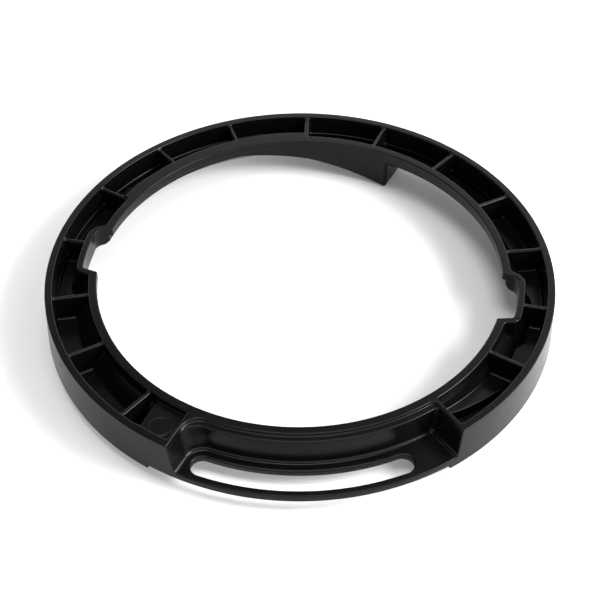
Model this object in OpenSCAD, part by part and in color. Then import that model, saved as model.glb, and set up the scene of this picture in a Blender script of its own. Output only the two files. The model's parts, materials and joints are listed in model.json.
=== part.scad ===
// Ribbed flange ring, moulded in black plastic. Millimetres, +Z up.
// The origin is on the ring's axis, at the level of its lowest point, the tip of the cam ramp.
// Angles run anticlockwise from +X as seen from above; the slotted recess faces -Y.

/* [Ring] */
// Outer radius at the top rim
rim_r = 88; // [86:0.5:92]
// How much wider the foot's radius is than the top rim's
wall_draft = 1; // [0:0.25:2]
// Height from the foot to the top rim
ring_h = 15; // [14:0.5:18]
// Thickness of the outer wall at the top rim
outer_wall_t = 2.6; // [1.6:0.1:3]

/* [Bore] */
// Radius of the bore at its top lip
lip_r = 70.3; // [69:0.1:70.8]
// Depth of the top lip
lip_h = 3.5; // [2:0.5:4.5]
// Radius of the bore under the lip
bore_r = 71.7; // [71:0.1:72]
// Depth of the inner wall, below the top rim
inner_wall_h = 6; // [5.5:0.5:7]
// Outer radius of the inner wall
inner_rim_r = 73.2; // [72.8:0.1:73.6]
// Radius of the thicker inner wall at the back
back_rim_r = 75.1; // [74.5:0.1:76]

/* [Pockets] */
// Depth of the pocket floor, below the top rim
floor_depth = 10.2; // [9:0.1:11]
// Thickness of the floor
floor_t = 2.1; // [1.5:0.1:2.5]
// Depth at which the sloping web leaves the inner wall
web_depth = 4.7; // [4:0.1:5]
// Radius at which the web meets the floor
web_r = 78.4; // [78:0.1:79]
// Thickness of the ribs
rib_t = 1.8; // [1.2:0.1:2.4]
// How far the rib tops lie below the rim
rib_drop = 0.8; // [0.4:0.1:1.5]

/* [Notches] */
// Depth of the bayonet notches, measured out from the lip
notch_depth = 5.3; // [4.5:0.1:5.5]
// Angle between the two flanks of a notch at the lip
notch_open = 17.7; // [14:0.1:18]
// Angle between the two flanks of a notch at its bottom
notch_deep = 14.2; // [12:0.1:15]
// Thickness of the walls around a notch
notch_wall_t = 2.2; // [1.6:0.1:2.3]
// Depth of the notch walls, below the top rim
notch_h = 7.3; // [7:0.1:8]

/* [Slotted tab] */
// Depth of the tab's top, below the top rim
tab_depth = 11; // [10:0.1:11.5]
// Thickness of the tab
tab_t = 2.4; // [2:0.1:3]
// Width of the curved slot
slot_w = 7; // [5:0.1:8]
// Radius of the slot's centre line
slot_r = 82.9; // [82.5:0.1:83.5]

/* [Cam ramp] */
// How far the ramp's tip reaches below the foot
tip_drop = 3.2; // [2:0.1:4]

/* [Hidden] */
$fn = 96;

top_z = ring_h + tip_drop;
foot_r = rim_r + wall_draft;
wall_in_r = rim_r - outer_wall_t;
far = 2 * foot_r;
rib_half_a = asin(rib_t / 2 / inner_rim_r);

// Angles of the features
rib_angles = [
    -32.3, -13.4, 6.3, 26.3, 46.7, 67, 87.8, 108.6, 129.1, 149.2, 169.2, 189.2, 207.7, 229.1
];
notch_left_a = 172.4;
notch_right_a = 348;
recess_a0 = 243;
recess_a1 = 304;
pad_a = 232.5;
foot_step_a0 = 237.2;
foot_step_a1 = 301.6;
foot_step = 1.6;
slot_a0 = 248.1;
slot_a1 = 292.5;
ramp_a0 = 61.8;
ramp_a1 = 109;

// Notches
notch_r = lip_r + notch_depth;
notch_out_r = notch_r + notch_wall_t;
notch_web_run = 2.7;
notch_web_r = notch_out_r + notch_web_run;
notch_web_depth = 5.5;
notch_end_a = 1.75;
notch_half = notch_open / 2 + notch_end_a;
notch_cutter_r0 = lip_r - 3.2;

// Recess
shelf_depth = 1.2;
shelf_slope = 0.5;
shelf_r = 75.4;
recess_wall_r = 75.9;
end_wall_t = 2.2;

// Deep pocket beside the recess
pit_depth = 12.4;
ledge_low = 9.6;
ledge_high = 7;
ledge_w_thin = 2;
ledge_w_thick = 9.2;
ledge_end_a = 1;

// Pad beside the recess
pad_depth = 2.6;
pad_t = 2.1;
pad_wall_a = 1.3;

// Cam
cam_steps = 24;
cam_bend_a = 22;
cam_shallow = 0.2;

// A section point at radius r and depth d below the top rim
function at(r, d) = [r, top_z - d];

// Radius of the outer face at depth d
function face_r(d) = rim_r + wall_draft * d / ring_h;

// A plan point at radius r and angle a
function polar(r, a) = [r * cos(a), r * sin(a)];

// Depth of the cam's underside at angle a: shallow at first, then about one and a half times as steep
function cam_depth(a) =
    let (turned = ramp_a1 - a, drop = top_z - inner_wall_h - cam_shallow * cam_bend_a,
        steep = drop / (ramp_a1 - ramp_a0 - cam_bend_a))
    inner_wall_h + cam_shallow * min(turned, cam_bend_a) + steep * max(turned - cam_bend_a, 0);

// A solid of revolution from angle a0 to a1, of the section given as children
module arc(a0, a1) {
    rotate_extrude(angle = a1 - a0, start = a0, $fn = 180) children();
}

// A plate set on edge along the radius at angle a; side moves it off the radius
module radial_plate(a, t, r0, r1, side) {
    rotate([0, 0, a]) translate([r0, side * t / 2 - t / 2, 0]) cube([r1 - r0, t, top_z]);
}

// Depth of the web's upper face at radius r
function web_depth_at(r) = web_depth +
    (floor_depth - web_depth) * (r - inner_rim_r) / (web_r - inner_rim_r);

// Section of an ordinary pocket, from radius r out, up to depth d
module pocket_section(r, d) {
    polygon([
        at(r, d), at(r, web_depth_at(r)), at(web_r, floor_depth),
        at(wall_in_r, floor_depth), at(wall_in_r, d)
    ]);
}

// Section of a pocket behind a notch, up to depth d
module notch_pocket_section(d) {
    polygon([
        at(notch_out_r, d), at(notch_out_r, notch_web_depth), at(notch_web_r, floor_depth),
        at(wall_in_r, floor_depth), at(wall_in_r, d)
    ]);
}

// Section of the pocket under the pad and beside the recess, down to the pit floor
module deep_section(d) {
    polygon([
        at(inner_rim_r, d), at(inner_rim_r, pit_depth), at(wall_in_r, pit_depth), at(wall_in_r, d)
    ]);
}

module outer_wall() {
    color("#1b1b1c") difference() {
        arc(0, 360) polygon([
            at(wall_in_r, 0), at(wall_in_r, ring_h), at(foot_r, ring_h), at(rim_r, 0)
        ]);
        arc(recess_a0, recess_a1) translate([wall_in_r - 1, -1]) square([far, 2 * top_z]);
        arc(foot_step_a0, recess_a0 + 1) translate([wall_in_r - 1, 0])
            square([far, tip_drop + foot_step]);
        radial_plate(recess_a0, end_wall_t, inner_rim_r, far, -1);
        radial_plate(recess_a1, end_wall_t, inner_rim_r, far, 1);
    }
}

// Inner wall with its top lip, between two angles
module inner_rim(a0, a1) {
    arc(a0, a1) polygon([
        at(lip_r, 0), at(lip_r, lip_h), at(bore_r, lip_h), at(bore_r, inner_wall_h),
        at(inner_rim_r, web_depth), at(inner_rim_r, 0)
    ]);
}

module inner_rim_back() {
    color("#202021") inner_rim(notch_right_a + notch_half - 360, notch_left_a - notch_half);
}

module inner_rim_left() {
    color("#202021") inner_rim(notch_left_a + notch_half, recess_a0);
}

module inner_rim_right() {
    color("#202021") inner_rim(recess_a1, notch_right_a - notch_half);
}

// Second thickness of the inner wall, from the seventh rib to the tenth
module back_rim_band() {
    color("#1d1d1e") arc(rib_angles[6] - rib_half_a, rib_angles[9] + rib_half_a) polygon([
        at(inner_rim_r, 0), at(inner_rim_r, web_depth),
        at(back_rim_r, web_depth_at(back_rim_r)), at(back_rim_r, 0)
    ]);
}

// Sloping web from the inner wall out to the floor, between two angles
module web(a0, a1) {
    arc(a0, a1) polygon([
        at(bore_r, inner_wall_h), at(inner_rim_r, web_depth), at(web_r, floor_depth),
        at(web_r, floor_depth + floor_t)
    ]);
}

module web_back() {
    color("#151516") web(notch_right_a + notch_half - 360, notch_left_a - notch_half);
}

module web_left() {
    color("#151516") web(notch_left_a + notch_half, pad_a);
}

module web_right() {
    color("#151516") web(rib_angles[0] + 360, notch_right_a - notch_half);
}

module pocket_floor() {
    color("#131314") difference() {
        arc(rib_angles[0], pad_a) polygon([
            at(web_r, floor_depth), at(web_r, floor_depth + floor_t),
            at(wall_in_r, floor_depth + floor_t), at(wall_in_r, floor_depth)
        ]);
        for (a = [notch_left_a, notch_right_a]) arc(a - notch_half, a + notch_half)
            square([notch_web_r, 2 * top_z]);
    }
}

// Walls around one bayonet notch, with the short steep web behind them
module notch_wall(a) {
    difference() {
        arc(a - notch_half, a + notch_half) polygon([
            at(lip_r, 0), at(lip_r, lip_h), at(bore_r, lip_h), at(bore_r, notch_h),
            at(notch_out_r, notch_h), at(notch_out_r, 0)
        ]);
        notch_cutter(a);
    }
    arc(a - notch_half, a + notch_half) polygon([
        at(notch_r, notch_h), at(notch_out_r, notch_web_depth), at(notch_web_r, floor_depth),
        at(notch_web_r, floor_depth + floor_t)
    ]);
    for (side = [-1, 1]) {
        edge = a + side * notch_half;
        arc(min(edge, edge - side * notch_end_a), max(edge, edge - side * notch_end_a)) polygon([
            at(bore_r, inner_wall_h), at(inner_rim_r, web_depth), at(notch_out_r, web_depth),
            at(notch_out_r, notch_web_depth), at(notch_web_r, floor_depth),
            at(notch_web_r, floor_depth + floor_t), at(web_r, floor_depth + floor_t)
        ]);
    }
}

// The open space of a notch: a wedge that narrows outwards to a bottom concentric with the ring
module notch_cutter(a) {
    open_half = notch_open / 2;
    deep_half = notch_deep / 2;
    flare = (open_half - deep_half) * 0.6;
    intersection() {
        translate([0, 0, top_z - 2 * notch_h]) linear_extrude(3 * notch_h) polygon([
            polar(notch_cutter_r0, a - open_half - flare), polar(notch_r, a - deep_half),
            polar(notch_r + 3, a), polar(notch_r, a + deep_half),
            polar(notch_cutter_r0, a + open_half + flare)
        ]);
        cylinder(r = notch_r, h = 2 * top_z, $fn = 180);
    }
}

module notch_wall_left() {
    color("#242425") notch_wall(notch_left_a);
}

module notch_wall_right() {
    color("#242425") notch_wall(notch_right_a);
}

// Thick inner wall of the recess, with a narrow shelf just below the rim
module recess_wall() {
    color("#1e1e1f") arc(recess_a0, recess_a1) polygon([
        at(lip_r, 0), at(lip_r, lip_h), at(bore_r, lip_h), at(bore_r, tab_depth + tab_t),
        at(recess_wall_r, tab_depth + tab_t), at(recess_wall_r, tab_depth), at(shelf_r, shelf_depth),
        at(inner_rim_r, shelf_depth - shelf_slope), at(inner_rim_r, 0)
    ]);
}

// Section through an end wall, from the inner wall to the outer face
module end_wall_section() {
    polygon([
        at(inner_rim_r, 0), at(inner_rim_r, tab_depth + tab_t), at(face_r(tab_depth + tab_t),
        tab_depth + tab_t), at(rim_r, 0)
    ]);
}

module end_wall_left() {
    color("#202021") intersection() {
        radial_plate(recess_a0, end_wall_t, inner_rim_r - 2, far, -1);
        arc(recess_a0 - 5, recess_a0 + 1) end_wall_section();
    }
}

module end_wall_right() {
    color("#202021") intersection() {
        radial_plate(recess_a1, end_wall_t, inner_rim_r - 2, far, 1);
        arc(recess_a1 - 1, recess_a1 + 5) end_wall_section();
    }
}

module slot_cutter() {
    arc(slot_a0, slot_a1) translate([slot_r - slot_w / 2, 0]) square([slot_w, top_z]);
    for (a = [slot_a0, slot_a1]) rotate([0, 0, a]) translate([slot_r, 0, 0])
        cylinder(d = slot_w, h = top_z);
}

module slotted_tab() {
    color("#1a1a1b") {
        difference() {
            arc(recess_a0, recess_a1) polygon([
                at(recess_wall_r, tab_depth), at(recess_wall_r, tab_depth + tab_t),
                at(face_r(tab_depth + tab_t), tab_depth + tab_t), at(face_r(tab_depth), tab_depth)
            ]);
            slot_cutter();
        }
        arc(foot_step_a1, recess_a1) polygon([
            at(wall_in_r, tab_depth + tab_t), at(wall_in_r, ring_h), at(foot_r, ring_h),
            at(face_r(tab_depth + tab_t), tab_depth + tab_t)
        ]);
    }
}

// Cam under the back of the ring: it starts flush with the inner wall's foot and winds down
// clockwise to a radial end face below the foot
module cam_ramp() {
    step_a = (ramp_a1 - ramp_a0) / cam_steps;
    color("#1c1c1d") intersection() {
        arc(ramp_a0, ramp_a1) polygon([
            at(bore_r, inner_wall_h), at(bore_r, top_z), at(wall_in_r, top_z),
            at(wall_in_r, floor_depth + floor_t), at(web_r, floor_depth + floor_t)
        ]);
        for (i = [0:cam_steps - 1]) cam_block(ramp_a0 + i * step_a, ramp_a0 + (i + 1) * step_a);
    }
}

// One step of the cam between two angles, with a plane underside
module cam_block(a0, a1) {
    rotate([0, 0, (a0 + a1) / 2]) rotate([90, 0, 90]) linear_extrude(far) polygon([
        [-block_half(a0, a1), top_z], [-block_half(a0, a1), top_z - cam_depth(a0)],
        [block_half(a0, a1), top_z - cam_depth(a1)], [block_half(a0, a1), top_z]
    ]);
}

function block_half(a0, a1) = foot_r * tan((a1 - a0) / 2);

// Raised plate beside the left end wall, with a wall down to the floor
module gate_pad() {
    color("#262627") difference() {
        union() {
            arc(pad_a, recess_a0) polygon([
                at(inner_rim_r, pad_depth), at(inner_rim_r, pad_depth + pad_t),
                at(wall_in_r, pad_depth + pad_t), at(wall_in_r, pad_depth)
            ]);
            arc(pad_a, pad_a + pad_wall_a) polygon([
                at(inner_rim_r, pad_depth), at(bore_r, inner_wall_h), at(web_r, floor_depth + floor_t),
                at(wall_in_r, floor_depth + floor_t), at(wall_in_r, pad_depth)
            ]);
        }
        radial_plate(recess_a0, end_wall_t, inner_rim_r - 2, far, -1);
    }
}

// Inner wall of the deep pocket, below the rim
module pit_wall() {
    color("#171718") arc(recess_a1, rib_angles[0] + 360) polygon([
        at(bore_r, inner_wall_h), at(bore_r, pit_depth + floor_t),
        at(inner_rim_r, pit_depth + floor_t), at(inner_rim_r, web_depth)
    ]);
}

module pit_floor() {
    color("#131314") difference() {
        arc(recess_a1, rib_angles[0] + 360) polygon([
            at(inner_rim_r, pit_depth), at(inner_rim_r, pit_depth + floor_t),
            at(wall_in_r, pit_depth + floor_t), at(wall_in_r, pit_depth)
        ]);
        radial_plate(recess_a1, end_wall_t, inner_rim_r - 2, far, 1);
    }
}

// Ledge along the inner wall of the deep pocket: it widens and sinks away from the end wall
module tapered_ledge() {
    a0 = recess_a1 + 2 * ledge_end_a;
    a1 = rib_angles[0] + 360 - ledge_end_a;
    color("#191a1a") intersection() {
        arc(a0, a1) deep_section(0);
        linear_extrude(top_z) polygon([
            polar(inner_rim_r - 3, a0), polar(inner_rim_r + ledge_w_thin, a0),
            polar(inner_rim_r + ledge_w_thick, a1), polar(inner_rim_r - 3, a1)
        ]);
        rotate([0, 0, (a0 + a1) / 2]) rotate([90, 0, 90]) linear_extrude(far) polygon([
            [-20, 0], [20, 0], [20, top_z - ledge_low], [-20, top_z - ledge_high]
        ]);
    }
}

// Rib number i, counted from 0: a radial plate that fills the pocket's section
module rib(i) {
    a = rib_angles[i];
    behind_notch = i == 1 || i == 10;
    in_band = i >= 6 && i <= 9;
    color("#222223") intersection() {
        radial_plate(a, rib_t, bore_r, far, 0);
        arc(a - 2, a + 2) {
            if (behind_notch) notch_pocket_section(rib_drop);
            else pocket_section(in_band ? back_rim_r : inner_rim_r, rib_drop);
        }
    }
}

module rib_01() { rib(0); }
module rib_02() { rib(1); }
module rib_03() { rib(2); }
module rib_04() { rib(3); }
module rib_05() { rib(4); }
module rib_06() { rib(5); }
module rib_07() { rib(6); }
module rib_08() { rib(7); }
module rib_09() { rib(8); }
module rib_10() { rib(9); }
module rib_11() { rib(10); }
module rib_12() { rib(11); }
module rib_13() { rib(12); }
module rib_14() { rib(13); }

outer_wall();
inner_rim_back();
inner_rim_left();
inner_rim_right();
back_rim_band();
web_back();
web_left();
web_right();
pocket_floor();
notch_wall_left();
notch_wall_right();
recess_wall();
end_wall_left();
end_wall_right();
slotted_tab();
cam_ramp();
gate_pad();
pit_wall();
pit_floor();
tapered_ledge();
rib_01();
rib_02();
rib_03();
rib_04();
rib_05();
rib_06();
rib_07();
rib_08();
rib_09();
rib_10();
rib_11();
rib_12();
rib_13();
rib_14();
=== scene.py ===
"""Ribbed flange ring: the moulding's visible skin, its plastic, studio and camera, in the CAD frame.

The CAD nodes meet at sharp corners. The real part is moulded, so every corner has a small radius and
nothing shows where one region ends. moulding() is the whole ring as a signed distance in millimetres,
with those radii; skin() meshes it once, and the mesh is shared out to one closed piece per CAD node.
"""

import json
import math

import bpy
import numpy as np
from mathutils import Matrix, Vector


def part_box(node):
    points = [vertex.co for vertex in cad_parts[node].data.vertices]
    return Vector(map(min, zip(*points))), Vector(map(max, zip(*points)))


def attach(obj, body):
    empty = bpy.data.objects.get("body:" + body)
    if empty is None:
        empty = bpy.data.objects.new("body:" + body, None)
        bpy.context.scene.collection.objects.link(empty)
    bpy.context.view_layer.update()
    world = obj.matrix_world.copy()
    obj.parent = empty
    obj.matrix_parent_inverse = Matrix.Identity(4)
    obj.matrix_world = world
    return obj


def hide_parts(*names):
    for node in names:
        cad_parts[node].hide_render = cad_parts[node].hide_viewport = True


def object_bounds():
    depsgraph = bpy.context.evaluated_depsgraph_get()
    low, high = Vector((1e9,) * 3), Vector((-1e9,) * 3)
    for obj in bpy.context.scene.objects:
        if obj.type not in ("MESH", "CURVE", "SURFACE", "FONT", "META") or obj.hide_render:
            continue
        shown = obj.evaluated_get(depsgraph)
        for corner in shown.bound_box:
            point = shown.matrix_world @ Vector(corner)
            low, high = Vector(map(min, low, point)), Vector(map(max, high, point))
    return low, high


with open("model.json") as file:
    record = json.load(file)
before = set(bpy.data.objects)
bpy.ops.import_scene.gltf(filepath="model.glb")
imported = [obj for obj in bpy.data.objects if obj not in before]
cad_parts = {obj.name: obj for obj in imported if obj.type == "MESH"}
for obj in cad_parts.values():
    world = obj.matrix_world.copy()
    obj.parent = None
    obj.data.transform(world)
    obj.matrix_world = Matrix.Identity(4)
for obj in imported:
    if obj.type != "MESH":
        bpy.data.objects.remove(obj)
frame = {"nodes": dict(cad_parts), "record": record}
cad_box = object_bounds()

MM = 0.001
FAR = 1e3


def low(node):
    """Lowest corner of a CAD node, in millimetres."""
    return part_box(node)[0] / MM


def high(node):
    """Highest corner of a CAD node, in millimetres."""
    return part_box(node)[1] / MM


mounts = {m["name"]: m for m in frame["record"]["mounts"]}

# Sizes read from the frame, in millimetres. Depths count down from the top rim.
TOP = high("inner_rim_back").z
RING_H = TOP - low("outer_wall").z
FOOT_R = high("outer_wall").y
LIP_R = mounts["bore"]["dims"]["r_mm"]
LIP_H = mounts["bore"]["dims"]["length_mm"]
WALL_H = TOP - low("inner_rim_back").z
TAB_UNDER = TOP - low("recess_wall").z
PIT_UNDER = TOP - low("pit_floor").z
PIT_DEPTH = TOP - high("pit_floor").z
FLOOR_DEPTH = TOP - high("pocket_floor").z
FLOOR_UNDER = TOP - low("pocket_floor").z
PAD_DEPTH = TOP - high("gate_pad").z
RIB_DROP = TOP - high("rib_07").z

# Sizes that repeat the CAD model's own
WALL_DRAFT = 1.0
RIM_R = FOOT_R - WALL_DRAFT
WALL_IN_R = 85.4
BORE_R = 71.7
INNER_R = 73.2
BAND_R = 75.1
WEB_DEPTH = 4.7
WEB_R = 78.4
RIB_T = 1.8
RIBS = [-32.3, -13.4, 6.3, 26.3, 46.7, 67, 87.8, 108.6, 129.1, 149.2, 169.2, 189.2, 207.7, 229.1]
RECESS = (243, 304)
END_WALL_T = 2.2
SHELF_DEPTH = 1.1
RECESS_R = 75.5
TAB_DEPTH = 11.0
PIT_WEB_DEPTH = 5.2
PAD_A = 232.5
PAD_T = 2.1
PAD_WALL_A = 1.3
PAD_SKEW = 0.24
FOOT_STEP = (237.2, 301.6)
SLOT = [248.1, 292.5]
SLOT_R = 82.9
SLOT_W = 7.0
NOTCH_LEFT = 172.4
NOTCH_RIGHT = 348
NOTCH_R = 75.6
NOTCH_OPEN = 17.7
NOTCH_DEEP = 14.2
NOTCH_WALL = 2.2
NOTCH_H = 7.3
NOTCH_WEB_DEPTH = 5.5
NOTCH_WEB_FALL = 1.7
NOTCH_WEB_R = 80.5
NOTCH_REACH = 4.9
LEDGE_R = 74.7
LEDGE_WIDENS = 8.1
LEDGE_DEPTH = 7.0
LEDGE_SINKS = 2.6
RAMP = (61.8, 109)
RAMP_BEND = 22
RAMP_SHALLOW = 0.2

# Radii of the moulding's corners
EDGE = 0.4
CORNER = 0.8
RIB_ROUND = 0.5
RIB_FILLET = 0.8
CAM_CORNER = 1.4
RECESS_CORNER = 6.0

# The seventh rib's extra half thickness, and the step low on the outer wall at the back
WIDE_RIB = 6
WIDE_BY = 0.2
STEP_SPAN = (RIBS[3], RIBS[11])
STEP_R = WALL_IN_R - 0.6
STEP_DEPTH = 7.7

# The round mark that an ejector pin left on the pad
MARK_A = 237.3
MARK_R = 80.7
MARK_PROFILE = [(3.3, 0.01), (3.4, 0.01), (3.52, 0.05), (3.64, 0.07), (3.76, 0.05), (3.9, -0.03)]

# Drafts, in millimetres sideways for each millimetre of depth
RIB_DRAFT = 0.025
LEFT_DRAFT = 0.21
RIGHT_DRAFT = 0.145


# ---------------------------------------------------------------- distances

def both(a, b, k):
    """Distance to what two solids share; their common edge gets radius k."""
    return np.minimum(np.maximum(a, b), -k) + np.hypot(np.maximum(a + k, 0), np.maximum(b + k, 0))


def less(a, b, k):
    """Distance to solid a with b cut out of it, and radius k on the edge of the cut."""
    return both(a, -b, k)


def joined(a, b, k):
    """Distance to two solids or spaces run together, with radius k in the corner between them."""
    return -both(-a, -b, k)


def outline(x, y, corners):
    """Signed distance in the plane to a closed outline, negative inside."""
    square = np.full(np.broadcast(x, y).shape, FAR * FAR)
    inside = np.zeros(square.shape, bool)
    for (ax, ay), (bx, by) in zip(corners, corners[1:] + corners[:1]):
        ex, ey = bx - ax, by - ay
        share = np.clip(((x - ax) * ex + (y - ay) * ey) / (ex * ex + ey * ey), 0, 1)
        square = np.minimum(square, (x - ax - share * ex) ** 2 + (y - ay - share * ey) ** 2)
        if ey:
            inside ^= ((ay > y) != (by > y)) & (x < ax + (y - ay) * ex / ey)
    return np.where(inside, -1, 1) * np.sqrt(square)


def rounded(corners, steps=5):
    """The outline of (x, y, radius) corners, each turned into an arc of that radius."""
    made = []
    count = len(corners)
    for i, (x, y, radius) in enumerate(corners):
        here = np.array([x, y])
        back = np.array(corners[i - 1][:2]) - here
        on = np.array(corners[(i + 1) % count][:2]) - here
        back, on = back / np.linalg.norm(back), on / np.linalg.norm(on)
        half = math.acos(float(np.clip(back @ on, -1, 1))) / 2
        if radius == 0 or half > 1.55:
            made.append((x, y))
            continue
        centre = here + (back + on) / np.linalg.norm(back + on) * radius / math.sin(half)
        start = here + back * radius / math.tan(half) - centre
        end = here + on * radius / math.tan(half) - centre
        a0, a1 = math.atan2(start[1], start[0]), math.atan2(end[1], end[0])
        turn = (a1 - a0 + math.pi) % (2 * math.pi) - math.pi
        for k in range(steps + 1):
            a = a0 + turn * k / steps
            made.append((centre[0] + radius * math.cos(a), centre[1] + radius * math.sin(a)))
    return made


def off_plane(t, r, angle):
    """Distance anticlockwise from the upright plane through the axis at an angle in degrees."""
    turned = t - np.radians(angle)
    return np.where(np.cos(turned) > 0, r * np.sin(turned), np.sign(np.sin(turned) + 1e-9) * r)


def sector(t, r, a0, a1, k=0.0):
    """Distance to the wedge between two planes through the axis, less than half a turn apart."""
    return both(-off_plane(t, r, a0), off_plane(t, r, a1), k)


# ---------------------------------------------------------------- the moulding

BLOCK = rounded([
    (LIP_R, 0, 0.45), (RIM_R, 0, 0.3), (FOOT_R, RING_H, 0.4), (BORE_R, RING_H, 0.3),
    (BORE_R, LIP_H, 0.3), (LIP_R, LIP_H, 0.35),
])
UNDER_WEB = rounded([
    (60, WALL_H, 0), (BORE_R + 0.05, WALL_H, 0), (WEB_R, FLOOR_UNDER, 1.5),
    (WALL_IN_R + 0.2, FLOOR_UNDER, CORNER), (WALL_IN_R + 0.2, 24, 0), (60, 24, 0),
])
UNDER_PAD = rounded([
    (60, WALL_H, 0), (BORE_R + 0.05, WALL_H, 0), (INNER_R, PAD_DEPTH + PAD_T, 0.4),
    (WALL_IN_R, PAD_DEPTH + PAD_T, CORNER), (WALL_IN_R, 24, 0), (60, 24, 0),
])
UNDER_PIT = [(60, PIT_UNDER), (WALL_IN_R + 0.2, PIT_UNDER), (WALL_IN_R + 0.2, 24), (60, 24)]
CAM = rounded([
    (BORE_R, WEB_DEPTH, 0), (INNER_R, WEB_DEPTH + 0.7, 0), (WEB_R, FLOOR_DEPTH + 1, 0),
    (WALL_IN_R, FLOOR_DEPTH + 1, 0), (WALL_IN_R, 30, 0), (BORE_R, 30, 0),
])


def pocket_outline(r0, depth, corner):
    """Section of a pocket's open space from radius r0 out, flat-bottomed at a depth."""
    return rounded([
        (r0, -6, 0), (r0, depth, corner), (WALL_IN_R - 0.25, depth, corner), (WALL_IN_R + 0.25, -6, 0),
    ])


def web_outline(r0):
    """Section of a pocket's open space over the sloping web, from radius r0 out."""
    r_web = WEB_DEPTH + (FLOOR_DEPTH - WEB_DEPTH) * (r0 - INNER_R) / (WEB_R - INNER_R)
    return rounded([
        (r0, -6, 0), (r0, r_web, CORNER), (WEB_R, FLOOR_DEPTH, 1.2),
        (WALL_IN_R - 0.25, FLOOR_DEPTH, CORNER), (WALL_IN_R + 0.25, -6, 0),
    ])


OPEN_WEB = web_outline(INNER_R)
OPEN_BAND = web_outline(BAND_R)
OPEN_PIT = rounded([
    (INNER_R, -6, 0), (INNER_R, PIT_WEB_DEPTH, CORNER), (INNER_R + 3, PIT_DEPTH, CORNER),
    (WALL_IN_R - 0.25, PIT_DEPTH, CORNER), (WALL_IN_R + 0.25, -6, 0),
])
OPEN_PAD = pocket_outline(INNER_R, PAD_DEPTH, 0.3)


def notch_outline():
    """A notch in plan, its middle along +X: square at the -Y flank, swept at the +Y flank."""
    def on(radius, angle):
        return radius * math.cos(math.radians(angle)), radius * math.sin(math.radians(angle))
    open_half, deep_half = NOTCH_OPEN / 2, NOTCH_DEEP / 2
    lip, deep = np.array(on(LIP_R, open_half)), np.array(on(NOTCH_R, deep_half))
    mouth = lip + (lip - deep) * 1.2
    bottom = [on(NOTCH_R, deep_half * k / 4) for k in range(-3, 3)]
    return rounded(
        [(mouth[0], -mouth[1], 0), (deep[0], -deep[1], 1.2)]
        + [(x, y, 0) for x, y in bottom]
        + [(*on(NOTCH_R + 0.35, deep_half * 1.05), 3.6), (mouth[0], mouth[1], 0)]
    )


NOTCH = notch_outline()


def notch(t, r):
    """Distance in plan to the nearer notch."""
    right = t - math.radians(NOTCH_RIGHT)
    left = t - math.radians(NOTCH_LEFT)
    return np.minimum(
        outline(r * np.cos(right), r * np.sin(right), NOTCH),
        outline(r * np.cos(left), -r * np.sin(left), NOTCH),
    )


def cam_depth(t):
    """Depth of the cam's underside at angle t: shallow at first, then steeper down to the tip."""
    turned = RAMP[1] - np.degrees(t) % 360
    steep = (TOP - WALL_H - RAMP_SHALLOW * RAMP_BEND) / (RAMP[1] - RAMP[0] - RAMP_BEND)
    rise = RAMP_SHALLOW * np.minimum(turned, RAMP_BEND)
    return WALL_H + rise + steep * np.maximum(turned - RAMP_BEND, 0)


def nearest_rib(t, r, d):
    """Distance to the plate of the nearest rib, which is thinner at its top."""
    angles = np.radians(np.array(RIBS + [RIBS[0] + 360]))
    turn = (t - angles[0]) % (2 * math.pi) + angles[0]
    i = np.clip(np.searchsorted((angles[1:] + angles[:-1]) / 2, turn), 0, len(RIBS))
    half = RIB_T / 2 + RIB_DRAFT * (d - FLOOR_DEPTH) + np.where(i == WIDE_RIB, WIDE_BY, 0)
    return np.abs(off_plane(t, r, np.degrees(angles[i]))) - half


def recess(t, r, d, inner):
    """Distance to the recess outside a given inner radius; its two ends lean outwards."""
    left = LEFT_DRAFT * (d - TAB_DEPTH / 2) - off_plane(t, r, RECESS[0])
    right = RIGHT_DRAFT * (d - TAB_DEPTH / 2) + off_plane(t, r, RECESS[1]) + 0.1
    return both(both(inner - r, left, RECESS_CORNER), right, 1.1)


def slot(t, r):
    """Distance in plan to the curved slot."""
    turn = np.degrees(t) % 360
    away = np.radians(turn - np.clip(turn, *SLOT))
    return np.hypot(r * np.cos(away) - SLOT_R, r * np.sin(away)) - SLOT_W / 2


def ledge_size(t):
    """Outer radius and depth of the ledge in the pit: it widens and sinks away from the end wall."""
    share = ((np.degrees(t) % 360) - RECESS[1]) / (RIBS[0] + 360 - RECESS[1])
    return LEDGE_R + LEDGE_WIDENS * share, LEDGE_DEPTH + LEDGE_SINKS * share


def ledge(t, r, d):
    """Distance to the ledge in the pit pocket."""
    out, depth = ledge_size(t)
    return both(r - out, depth - d, 0.3)


def ledge_there(t, r, d):
    """Whether a point is on the ledge or its fillets."""
    out, depth = ledge_size(t)
    return (r < out + 0.5) & (d > depth - 0.4)


def underside(t, r, d):
    """Distance to the moulding before its pockets are opened: the ring's outline and its hollow foot."""
    solid = outline(r, d, BLOCK)
    web = both(outline(r, d, UNDER_WEB), -sector(t, r, PAD_A + PAD_WALL_A, RIBS[0] + 360), 0.4)
    pad = both(outline(r, d, UNDER_PAD), sector(t, r, PAD_A + PAD_WALL_A, RECESS[0] - 1.6), 0.4)
    pit = both(outline(r, d, UNDER_PIT), sector(t, r, RECESS[1] + 0.9, RIBS[0] + 360), 0.2)
    tab = both(TAB_UNDER - d, r - WALL_IN_R, 0.2)
    tab = both(tab, sector(t, r, RECESS[0] - 1.6, RECESS[1] + 1), 0.2)
    step = both(TAB_UNDER - d, sector(t, r, *FOOT_STEP), 0.1)
    for space in (web, pad, pit, tab, step):
        solid = less(solid, space, 0.25)
    cam = both(outline(r, d, CAM), (d - cam_depth(t)) * 0.95, 0.5)
    cam = both(cam, sector(t, r, RAMP[0], RAMP[1] + 4), CAM_CORNER)
    return np.minimum(solid, cam)


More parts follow.
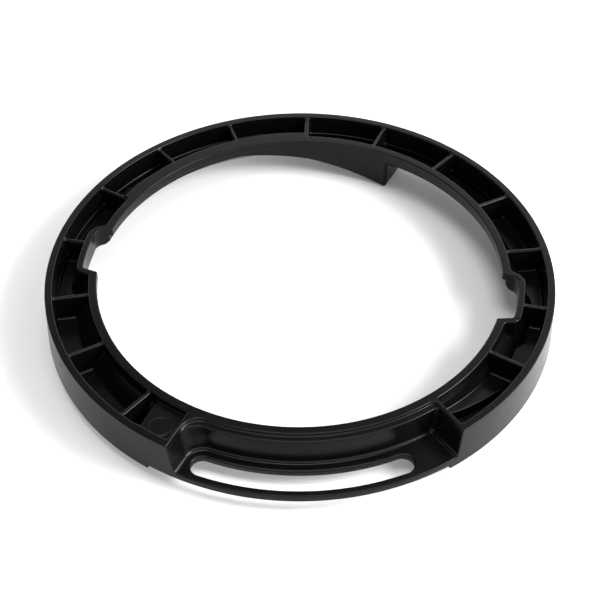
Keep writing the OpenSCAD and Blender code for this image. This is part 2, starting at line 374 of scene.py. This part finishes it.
def pockets(t, r, d):
    """Distance to the open space of the pockets, ribs and all: web, deep pit, and pad at the ends."""
    turn = np.degrees(t) % 360
    gap = notch(t, r)
    rib = nearest_rib(t, r, d)
    in_band = (turn > RIBS[6]) & (turn < RIBS[9])
    in_pit = (turn > RECESS[1] - 5) & (turn < RIBS[0] + 360)
    in_pad = (turn > RIBS[-1]) & (turn < RECESS[0] + 5)
    in_recess = (turn >= RECESS[0] + 5) & (turn <= RECESS[1] - 5)

    web = np.where(in_band, outline(r, d, OPEN_BAND), outline(r, d, OPEN_WEB))
    step = both(both(STEP_R - r, STEP_DEPTH - d, 0.3), sector(t, r, *STEP_SPAN), 0.1)
    web = both(web, -step, 0.3)
    skirt = (d - (NOTCH_WEB_DEPTH + NOTCH_WEB_FALL * (gap - NOTCH_WALL))) * 0.5
    web = both(both(web, NOTCH_WALL - gap, CORNER), skirt, 0.4)
    pit = less(outline(r, d, OPEN_PIT), ledge(t, r, d), 0.3)
    pit = both(pit, END_WALL_T - off_plane(t, r, RECESS[1]), CORNER)
    pad = both(outline(r, d, OPEN_PAD), off_plane(t, r, RECESS[0]) + END_WALL_T, 0.6)
    pad_edge = off_plane(t, r, PAD_A) - PAD_SKEW * (r - WEB_R)
    web = np.where(in_pad, both(web, pad_edge, 0.5), web)
    web = np.where(in_pad, joined(web, pad, 0.35), web)
    space = np.where(in_recess, FAR, np.where(in_pit, pit, web))
    plate = both(rib, RIB_DROP - d, RIB_ROUND)
    return both(space, -plate, RIB_FILLET)


def moulding(t, r, d):
    """Signed distance to the ring at angle t, radius r and depth d below the rim, negative inside."""
    solid = less(underside(t, r, d), pockets(t, r, d), EDGE)
    gap = notch(t, r)
    solid = less(solid, gap, EDGE)
    solid = both(solid, (d - (NOTCH_H + 1.02 * gap)) * 0.7, 0.35)
    shelf = both(recess(t, r, d, INNER_R + 0.1), d - SHELF_DEPTH, 0.5)
    floor = both(recess(t, r, d, RECESS_R + 0.04 * d), d - TAB_DEPTH, 1.1)
    solid = less(less(solid, shelf, EDGE), floor, EDGE)
    hole = slot(t, r)
    top_edge = less(solid, hole, 0.5)
    return np.where(d > TAB_DEPTH + 0.9, np.maximum(solid, -hole), top_edge)


# ---------------------------------------------------------------- which piece a point belongs to

NODES = sorted(frame["nodes"])
NUMBER = {name: i + 1 for i, name in enumerate(NODES)}


def web_top(r):
    """Depth of the pocket's floor at radius r."""
    slope = (FLOOR_DEPTH - WEB_DEPTH) / (WEB_R - INNER_R)
    return np.clip(WEB_DEPTH + (r - INNER_R) * slope, WEB_DEPTH, FLOOR_DEPTH)


def under_web(r):
    """Depth of the web's and the floor's underside at radius r."""
    slope = (FLOOR_UNDER - WALL_H) / (WEB_R - BORE_R)
    return np.clip(WALL_H + (r - BORE_R) * slope, WALL_H, FLOOR_UNDER)


def by_stretch(t, back, left, right):
    """One of three node numbers: for the stretches of the ring between the notches and the recess."""
    turn = np.degrees(t) % 360
    left_side = (turn > NOTCH_LEFT) & (turn < RECESS[0] + 20)
    right_side = (turn > RECESS[1] - 20) & (turn < NOTCH_RIGHT)
    return np.where(left_side, NUMBER[left], np.where(right_side, NUMBER[right], NUMBER[back]))


def owner(t, r, d):
    """The number of the node that a point of the moulding belongs to."""
    t, r, d = np.broadcast_arrays(t, r, d)
    turn = np.degrees(t) % 360
    gap = notch(t, r)
    e_left, e_right = off_plane(t, r, RECESS[0]), off_plane(t, r, RECESS[1])
    in_recess = (e_left > 0) & (e_right < 0) & (turn > 200)
    in_pit = (turn > RECESS[1]) & (turn < RIBS[0] + 360)
    in_pad = (turn > PAD_A) & (turn < RECESS[0])
    notch_wall = np.where(turn > 270, NUMBER["notch_wall_right"], NUMBER["notch_wall_left"])
    web = by_stretch(t, "web_back", "web_left", "web_right")
    name = np.where(r < WEB_R, web, NUMBER["pocket_floor"])
    name = np.where((gap < NOTCH_REACH) & (r < NOTCH_WEB_R), notch_wall, name)
    deepest = np.where(in_pit, PIT_DEPTH, np.where(in_pad, PAD_DEPTH, web_top(r)))
    upper = d < deepest - 0.2
    band = (turn > RIBS[6] - 0.7) & (turn < RIBS[9] + 0.7)
    rim = by_stretch(t, "inner_rim_back", "inner_rim_left", "inner_rim_right")
    rim = np.where(gap < 4, notch_wall, rim)
    inner = np.where(band & (r > INNER_R), NUMBER["back_rim_band"], rim)
    inner = np.where(in_pit & (d > WALL_H - 0.6), NUMBER["pit_wall"], inner)
    name = np.where(upper, np.where(r < 79.5, inner, NUMBER["outer_wall"]), name)
    edge = np.where(band, BAND_R, np.where(gap < NOTCH_WALL + 2, LIP_R, INNER_R))
    for k, angle in enumerate(RIBS):
        rib = (np.abs(off_plane(t, r, angle)) < RIB_T / 2 + 0.2) & upper & (d > RIB_DROP - 0.3)
        rib &= (r > edge) & (gap > NOTCH_WALL)
        name = np.where(rib, NUMBER[f"rib_{k + 1:02d}"], name)
    name = np.where(in_pit & ledge_there(t, r, d) & (r > INNER_R), NUMBER["tapered_ledge"], name)
    name = np.where((r < INNER_R) & (gap > NOTCH_WALL) & (d < WALL_H + 0.2), rim, name)
    name = np.where(in_pit & (r < INNER_R) & (d > WALL_H), NUMBER["pit_wall"], name)
    name = np.where(in_pit & (r > INNER_R) & (d > PIT_DEPTH - 0.2), NUMBER["pit_floor"], name)
    name = np.where(in_pad & (r > INNER_R) & (d > PAD_DEPTH - 0.2), NUMBER["gate_pad"], name)
    cam = (turn > RAMP[0] - 0.5) & (turn < RAMP[1] + 4) & (d > under_web(r) + 0.02)
    name = np.where(cam, NUMBER["cam_ramp"], name)
    name = np.where(r > WALL_IN_R, NUMBER["outer_wall"], name)
    near_left = (e_left < 0) & (e_left > -END_WALL_T) & (r > INNER_R) & (turn > 200)
    near_right = (e_right > 0) & (e_right < END_WALL_T) & (r > INNER_R) & (turn > 200)
    name = np.where(near_left & (d < TAB_UNDER + 0.1), NUMBER["end_wall_left"], name)
    name = np.where(near_right & (d < TAB_UNDER + 0.1), NUMBER["end_wall_right"], name)
    low_left = (turn > 200) & (turn < 270) & (d < TAB_DEPTH - 1.2)
    wall = np.where(r < RECESS_R + 0.6, NUMBER["recess_wall"], NUMBER["slotted_tab"])
    wall = np.where((r > RECESS_R + 0.6) & low_left, NUMBER["end_wall_left"], wall)
    return np.where(in_recess, wall, name)


# ---------------------------------------------------------------- meshing

def stations(lo, hi, coarse, marks):
    """Positions from lo to hi, coarse apart, and closer where marks says: (from, to, spacing)."""
    x = np.linspace(lo, hi, 40001)
    spacing = np.full(x.shape, coarse)
    for a, b, fine in marks:
        spacing = np.where((x > a) & (x < b), np.minimum(spacing, fine), spacing)
    smooth = np.convolve(np.pad(1 / spacing, 150, mode="edge"), np.ones(301) / 301, mode="valid")
    total = np.concatenate([[0], np.cumsum((smooth[1:] + smooth[:-1]) / 2 * np.diff(x))])
    return np.interp(np.linspace(0, total[-1], int(round(total[-1])) + 1), total, x)


def grid():
    """The angles, radii and depths at which the moulding is sampled, finest at its corners."""
    turns = [(a - 1.3, a + 1.3, 0.15) for a in RIBS + [RIBS[0] + 360]]
    for c in (NOTCH_LEFT, NOTCH_RIGHT):
        turns += [(c - 11.5, c - 5, 0.2), (c + 5, c + 11.5, 0.2)]
    turns += [(PAD_A - 1, PAD_A + 1.6, 0.2), (FOOT_STEP[0] - 0.5, FOOT_STEP[0] + 0.5, 0.15)]
    turns += [(RECESS[0] - 2.6, RECESS[0] + 8, 0.22), (RECESS[1] - 3, RECESS[1] + 2.4, 0.2)]
    turns += [(SLOT[0] - 3.4, SLOT[0], 0.25), (SLOT[1], SLOT[1] + 3.4, 0.25)]
    turns += [(RAMP[0] - 1, RAMP[0] + 1.5, 0.2), (RECESS[1], RIBS[0] + 360, 0.3)]
    angles = np.radians(stations(-20, 340, 1.3, turns)[:-1])
    radii = stations(LIP_R - 0.9, FOOT_R + 0.9, 0.4, [
        (LIP_R - 0.5, INNER_R + 0.6, 0.2), (BAND_R - 0.4, RECESS_R + 0.9, 0.2),
        (WEB_R - 0.3, WEB_R + 1.5, 0.25), (WALL_IN_R - 0.9, FOOT_R + 0.4, 0.2),
    ])
    depths = stations(-0.8, TOP + 0.8, 0.7, [
        (STEP_DEPTH - 0.4, STEP_DEPTH + 0.6, 0.2),
        (-0.4, SHELF_DEPTH + 0.7, 0.17), (PAD_DEPTH - 0.4, LIP_H + 0.5, 0.2),
        (FLOOR_DEPTH - 0.7, TAB_DEPTH + 0.4, 0.2),
        (TAB_UNDER - 0.5, RING_H + 0.5, 0.2), (TOP - 0.7, TOP + 0.4, 0.25),
    ])
    return angles, radii, depths


def crossing_points(field, label, axes):
    """One vertex per grid cell that holds a surface: the mean of where its edges cross.
    Where the outside meets the cell only those crossings count, so all pieces share one skin."""
    shape = tuple(n - 1 for n in field.shape)
    size = int(np.prod(shape))
    sums = {kind: [np.zeros(size) for _ in range(4)] for kind in ("skin", "seam")}
    cell_id = np.arange(size).reshape(shape)
    for axis in range(3):
        a = [slice(None)] * 3
        b = [slice(None)] * 3
        a[axis], b[axis] = slice(None, -1), slice(1, None)
        fa, fb = field[tuple(a)], field[tuple(b)]
        differs = label[tuple(a)] != label[tuple(b)]
        outside = differs & ((label[tuple(a)] == 0) | (label[tuple(b)] == 0))
        for kind, hit in (("skin", outside), ("seam", differs & ~outside)):
            at = np.nonzero(hit)
            share = fa[at] / (fa[at] - fb[at]) if kind == "skin" else np.full(len(at[0]), 0.5)
            place = [axes[k][at[k]] for k in range(3)]
            place[axis] = place[axis] + share * (axes[axis][at[axis] + 1] - axes[axis][at[axis]])
            others = [k for k in range(3) if k != axis]
            for du in (0, 1):
                for dv in (0, 1):
                    index = [n.copy() for n in at]
                    index[others[0]] -= du
                    index[others[1]] -= dv
                    ok = np.ones(len(at[0]), bool)
                    for k in range(3):
                        ok &= (index[k] >= 0) & (index[k] < shape[k])
                    cell = cell_id[tuple(n[ok] for n in index)]
                    for k in range(3):
                        sums[kind][k] += np.bincount(cell, place[k][ok], size)
                    sums[kind][3] += np.bincount(cell, minlength=size)
    use_skin = sums["skin"][3] > 0
    found = use_skin | (sums["seam"][3] > 0)
    points = np.stack([
        np.where(use_skin, sums["skin"][k] / np.maximum(sums["skin"][3], 1),
                 sums["seam"][k] / np.maximum(sums["seam"][3], 1))
        for k in range(3)
    ], axis=1)
    return points, found, use_skin, cell_id


def faces_of(label, cell_id):
    """Quads between grid points of different owners: (owner on the inner side, four cells)."""
    made = []
    for axis in range(3):
        u, v = (axis + 1) % 3, (axis + 2) % 3
        core = [slice(1, -1)] * 3
        core[axis] = slice(None, -1)
        nxt = list(core)
        nxt[axis] = slice(1, None)
        a, b = label[tuple(core)], label[tuple(nxt)]
        at = np.nonzero(a != b)
        index = [at[k] + (0 if k == axis else 1) for k in range(3)]
        ring = []
        for du, dv in ((1, 1), (0, 1), (0, 0), (1, 0)):
            cell = [n.copy() for n in index]
            cell[u] -= du
            cell[v] -= dv
            ring.append(cell_id[tuple(cell)])
        quad = np.stack(ring, axis=1)
        made.append((a[at], quad))
        made.append((b[at], quad[:, ::-1]))
    return np.concatenate([m[0] for m in made]), np.concatenate([m[1] for m in made])


def gradient(t, r, d, here, step=0.01):
    """Direction in which the distance grows from here, as (along the angle, along the radius, down)."""
    return np.stack([
        moulding(t + step / r, r, d) - here,
        moulding(t, r + step, d) - here,
        moulding(t, r, d + step) - here,
    ], axis=1) / step


def settle(points):
    """Moves points onto the moulding's surface, and gives the surface's normals there."""
    for _ in range(2):
        t, r, d = points.T
        here = moulding(t, r, d)
        slope = gradient(t, r, d, here)
        steep = np.maximum((slope ** 2).sum(1), 0.05)
        move = -(here / steep)[:, None] * slope
        move *= np.minimum(1, 0.15 / np.maximum(np.linalg.norm(move, axis=1), 1e-9))[:, None]
        points = points + move / np.stack([r, np.ones_like(r), np.ones_like(r)], axis=1)
    t, r, d = points.T
    slope = gradient(t, r, d, moulding(t, r, d))
    slope /= np.maximum(np.linalg.norm(slope, axis=1), 1e-9)[:, None]
    along, out, down = slope.T
    x = out * np.cos(t) - along * np.sin(t)
    y = out * np.sin(t) + along * np.cos(t)
    normals = np.stack([x, y, -down], axis=1)
    return points, normals


def skin():
    """The whole moulding as vertices, normals and, for each node number, its quads."""
    angles, radii, depths = grid()
    t, r, d = angles[:, None, None], radii[None, :, None], depths[None, None, :]
    field = moulding(t, r, d)
    label = np.where(field < 0, owner(t, r, d), 0).astype(np.int16)
    wrapped = [np.concatenate([x, x[:2]]) for x in (field, label)]
    turns = np.concatenate([angles, angles[:2] + 2 * math.pi])
    points, found, on_skin, cell_id = crossing_points(*wrapped, (turns, radii, depths))
    cell_id = cell_id.copy()
    cell_id[-1] = cell_id[0]
    owners, quads = faces_of(wrapped[1], cell_id)
    keep = np.nonzero(on_skin)[0]
    normals = np.zeros_like(points)
    normals[:, 2] = 1
    points[keep], normals[keep] = settle(points[keep])
    t, r, d = points.T
    places = np.stack([r * np.cos(t), r * np.sin(t), TOP - d], axis=1) * MM
    return places, normals, owners, quads


def make_mesh(name, places, normals, quads):
    """A mesh object of some of the skin's quads, shaded with the moulding's own normals."""
    used, faces = np.unique(quads, return_inverse=True)
    faces = faces.reshape(quads.shape)
    mesh = bpy.data.meshes.new(name)
    mesh.vertices.add(len(used))
    mesh.vertices.foreach_set("co", places[used].astype(np.float32).ravel())
    mesh.loops.add(faces.size)
    mesh.loops.foreach_set("vertex_index", faces.astype(np.int32).ravel())
    mesh.polygons.add(len(faces))
    mesh.polygons.foreach_set("loop_start", np.arange(0, faces.size, 4, dtype=np.int32))
    mesh.update(calc_edges=True)
    mesh.shade_smooth()
    mesh.normals_split_custom_set_from_vertices(normals[used].astype(np.float32))
    obj = bpy.data.objects.new(name, mesh)
    bpy.context.scene.collection.objects.link(obj)
    return obj


# ---------------------------------------------------------------- plastic

def plastic(name, colour, rough, grain, sheen_spread):
    """Moulded black plastic: faint colour and gloss clouding, and a fine mould texture in the bump."""
    mat = bpy.data.materials.new(name)
    mat.use_nodes = True
    nodes, links = mat.node_tree.nodes, mat.node_tree.links
    shader = nodes["Principled BSDF"]
    shader.inputs["Specular IOR Level"].default_value = 0.14
    place = nodes.new("ShaderNodeTexCoord")

    def noise(scale, detail):
        made = nodes.new("ShaderNodeTexNoise")
        made.inputs["Scale"].default_value = scale
        made.inputs["Detail"].default_value = detail
        links.new(place.outputs["Object"], made.inputs["Vector"])
        return made

    def spread(source, a, b):
        made = nodes.new("ShaderNodeMapRange")
        made.inputs["From Min"].default_value = 0.3
        made.inputs["From Max"].default_value = 0.7
        made.inputs["To Min"].default_value = a
        made.inputs["To Max"].default_value = b
        links.new(source.outputs["Fac"], made.inputs["Value"])
        return made

    cloud = noise(60, 3)
    ramp = nodes.new("ShaderNodeMix")
    ramp.data_type = "RGBA"
    ramp.inputs["A"].default_value = (*[c * 0.8 for c in colour], 1)
    ramp.inputs["B"].default_value = (*[c * 1.25 for c in colour], 1)
    links.new(spread(cloud, 0, 1).outputs["Result"], ramp.inputs["Factor"])
    links.new(ramp.outputs["Result"], shader.inputs["Base Color"])
    gloss = spread(noise(220, 4), rough - sheen_spread, rough + sheen_spread)
    links.new(gloss.outputs["Result"], shader.inputs["Roughness"])
    bump = nodes.new("ShaderNodeBump")
    bump.inputs["Strength"].default_value = grain
    bump.inputs["Distance"].default_value = 0.00002
    links.new(noise(3500, 2).outputs["Fac"], bump.inputs["Height"])
    links.new(bump.outputs["Normal"], shader.inputs["Normal"])
    return mat


SLOTS = {s["node"]: s["material_slot"] for s in frame["record"]["subparts"]}
plastics = {
    "satin_black": plastic("satin_black_plastic", (0.0013, 0.0012, 0.0011), 0.25, 0.25, 0.03),
    "polished_black": plastic("polished_black_plastic", (0.002, 0.002, 0.002), 0.24, 0.15, 0.04),
}


def build_ring():
    """One piece of the skin for every CAD node."""
    places, normals, owners, quads = skin()
    for node in NODES:
        mine = quads[owners == NUMBER[node]]
        piece = make_mesh(f"{node}_moulded", places, normals, mine)
        piece.data.materials.append(plastics[SLOTS[node]])
        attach(piece, "root")
        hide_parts(node)


def ejector_mark():
    """A faint round ridge on the pad, turned from its profile."""
    sides = 96
    around = np.radians(np.arange(sides) * 360 / sides)
    centre = np.radians(MARK_A)
    verts = [
        (r * math.cos(a) + MARK_R * math.cos(centre), r * math.sin(a) + MARK_R * math.sin(centre),
         TOP - PAD_DEPTH + up)
        for r, up in MARK_PROFILE for a in around
    ]
    rings = len(MARK_PROFILE)
    faces = [tuple(range(sides))]
    for k in range(rings - 1):
        for i in range(sides):
            j = (i + 1) % sides
            faces.append((k * sides + i, (k + 1) * sides + i, (k + 1) * sides + j, k * sides + j))
    mesh = bpy.data.meshes.new("ejector_mark")
    mesh.from_pydata([tuple(v * MM for v in vert) for vert in verts], [], faces)
    mesh.polygons.foreach_set("use_smooth", [True] * len(mesh.polygons))
    mesh.materials.append(plastics[SLOTS["gate_pad"]])
    piece = bpy.data.objects.new("ejector_mark", mesh)
    bpy.context.scene.collection.objects.link(piece)
    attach(piece, "root")
    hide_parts("gate_pad")


# ---------------------------------------------------------------- studio

SKY = 3.3
SKY_TILT = (-0.3, 0, 1)
SKY_EDGE = (0.36, 1.0)
SKY_BANDS = [(0.52, 0.48), (0.66, 0.38), (0.74, 0.18), (0.82, 0.037), (0.93, 0.015)]
FLOOR_SIDE = 12
FLOOR_WHITE = 0.62
SOFTBOXES = [("softbox_right", (0.64, -0.16, 0.48), 0.4, 13), ("softbox_top", (0, 0, 1.2), 0.6, 9.5)]
CAMERA_AWAY = 4.827
CAMERA_RAISED = 44.2
CAMERA_PITCH = 45.75
CAMERA_ROLL = -0.39
CAMERA_LENS = 73.26
CAMERA_SENSOR = 36


def sky_gradient():
    """White surround that is bright near the horizon and dim overhead."""
    world = bpy.data.worlds.new("studio_world")
    bpy.context.scene.world = world
    world.use_nodes = True
    nodes, links = world.node_tree.nodes, world.node_tree.links
    sky = nodes["Background"]
    way = nodes.new("ShaderNodeTexCoord")
    tilt = nodes.new("ShaderNodeVectorMath")
    tilt.operation = "DOT_PRODUCT"
    tilt.inputs[1].default_value = SKY_TILT
    links.new(way.outputs["Generated"], tilt.inputs[0])
    bands = nodes.new("ShaderNodeValToRGB")
    bands.color_ramp.interpolation = "EASE"
    stops = bands.color_ramp.elements
    stops.remove(stops[1])
    stops[0].position = SKY_EDGE[0]
    stops[0].color = (SKY_EDGE[1], SKY_EDGE[1], SKY_EDGE[1], 1)
    for position, level in SKY_BANDS:
        stop = stops.new(position)
        stop.color = (level, level, level, 1)
    links.new(tilt.outputs["Value"], bands.inputs["Fac"])
    links.new(bands.outputs["Color"], sky.inputs["Color"])
    sky.inputs["Strength"].default_value = SKY


def studio():
    """A pale matt table at the ring's lowest point, a white surround and two soft lights."""
    bpy.ops.mesh.primitive_plane_add(size=FLOOR_SIDE, location=(0, 0, cad_box[0].z))
    floor = bpy.context.object
    floor.name = "studio_floor"
    mat = bpy.data.materials.new("studio_floor_white")
    mat.use_nodes = True
    shader = mat.node_tree.nodes["Principled BSDF"]
    shader.inputs["Base Color"].default_value = (FLOOR_WHITE, FLOOR_WHITE, FLOOR_WHITE, 1)
    shader.inputs["Roughness"].default_value = 1.0
    shader.inputs["Specular IOR Level"].default_value = 0.0
    floor.data.materials.append(mat)

    sky_gradient()
    for name, place, size, power in SOFTBOXES:
        light = bpy.data.lights.new(name, "AREA")
        light.shape = "SQUARE"
        light.size = size
        light.energy = power
        lamp = bpy.data.objects.new(name, light)
        lamp.location = place
        lamp.rotation_mode = "QUATERNION"
        lamp.rotation_quaternion = (-Vector(place)).to_track_quat("-Z", "Y")
        bpy.context.scene.collection.objects.link(lamp)


def camera():
    """Above and in front of the ring, with the photographed viewing angle."""
    distance = CAMERA_AWAY * RIM_R * MM
    raised = math.radians(CAMERA_RAISED)
    pitch = math.radians(CAMERA_PITCH)
    roll = math.radians(CAMERA_ROLL)
    data = bpy.data.cameras.new("camera")
    data.lens = CAMERA_LENS
    data.sensor_width = CAMERA_SENSOR
    data.clip_start = 0.01
    obj = bpy.data.objects.new("camera", data)
    obj.matrix_world = (
        Matrix.Translation((0, -distance * math.cos(raised), TOP * MM + distance * math.sin(raised)))
        @ Matrix.Rotation(math.pi / 2 - pitch, 4, "X")
        @ Matrix.Rotation(roll, 4, "Z")
    )
    bpy.context.scene.collection.objects.link(obj)
    bpy.context.scene.camera = obj


bpy.context.scene.view_settings.view_transform = "Standard"
build_ring()
ejector_mark()
studio()
camera()
